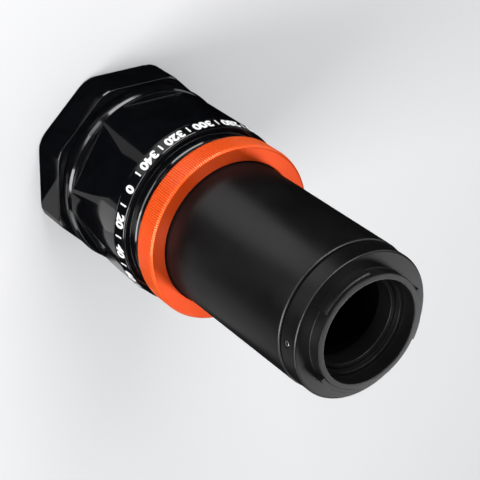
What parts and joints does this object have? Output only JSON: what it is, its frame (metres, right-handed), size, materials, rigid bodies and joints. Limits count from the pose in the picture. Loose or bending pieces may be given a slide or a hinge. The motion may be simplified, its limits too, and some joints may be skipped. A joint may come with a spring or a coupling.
{
  "type": "telescope focal reducer lens with camera adapter",
  "caption": "Faceted black reducer lens housing with a coupling nut, a knurled orange lock ring, a long camera adapter tube and a bayonet ring.",
  "frame": {"origin": "centre of the coupling nut's rear face, on the optical axis", "axes": "+Z along the optical axis from the telescope to the camera, +X through the middle of one housing flat"},
  "size_m": [0.0912, 0.0912, 0.1866],
  "materials": {
    "gloss_black": "gloss black anodised, fine turned lines",
    "satin_black": "satin black anodised",
    "inner_black": "dead matt black anodised",
    "orange_anodised": "satin orange anodised, straight knurl",
    "slip_plastic": "smooth low-friction plastic",
    "coated_glass": "polished, green anti-reflection coating",
    "screw_steel": "bright machined",
    "red_bead": "gloss red"
  },
  "bodies": {
    "lens": {"lens_housing": "gloss_black", "coupling_retaining_ring": "satin_black", "lens_cell": "inner_black", "lens_element_1": "coated_glass", "lens_element_2": "coated_glass", "lens_element_3": "coated_glass", "lens_element_4": "coated_glass", "lens_element_5": "coated_glass", "lens_spacer_1": "inner_black", "lens_spacer_2": "inner_black", "cell_retaining_ring": "inner_black", "housing_retaining_ring": "inner_black", "scale_ring": "gloss_black", "front_adapter": "gloss_black"},
    "nut": {"coupling_nut": "gloss_black", "glide_washer": "slip_plastic"},
    "lock": {"lock_ring": "orange_anodised"},
    "adapter": {"adapter_tube": "satin_black", "t_ring_insert": "satin_black"},
    "t_ring": {"t_ring_body": "satin_black", "t_ring_screw_1": "screw_steel", "t_ring_screw_2": "screw_steel", "t_ring_screw_3": "screw_steel", "index_dot": "red_bead"}
  },
  "joints": [
    {"name": "coupling_nut_turn", "type": "hinge", "parent": "lens", "child": "nut", "pos_m": [0, 0, 0.009], "axis": [0, 0, 1], "continuous": true},
    {"name": "lock_ring_turn", "type": "hinge", "parent": "lens", "child": "lock", "pos_m": [0, 0, 0.087], "axis": [0, 0, 1], "continuous": true},
    {"name": "camera_rotation", "type": "hinge", "parent": "lens", "child": "adapter", "pos_m": [0, 0, 0.13], "axis": [0, 0, 1], "continuous": true},
    {"name": "t_ring_alignment", "type": "hinge", "parent": "adapter", "child": "t_ring", "pos_m": [0, 0, 0.176], "axis": [0, 0, 1], "continuous": true}
  ]
}
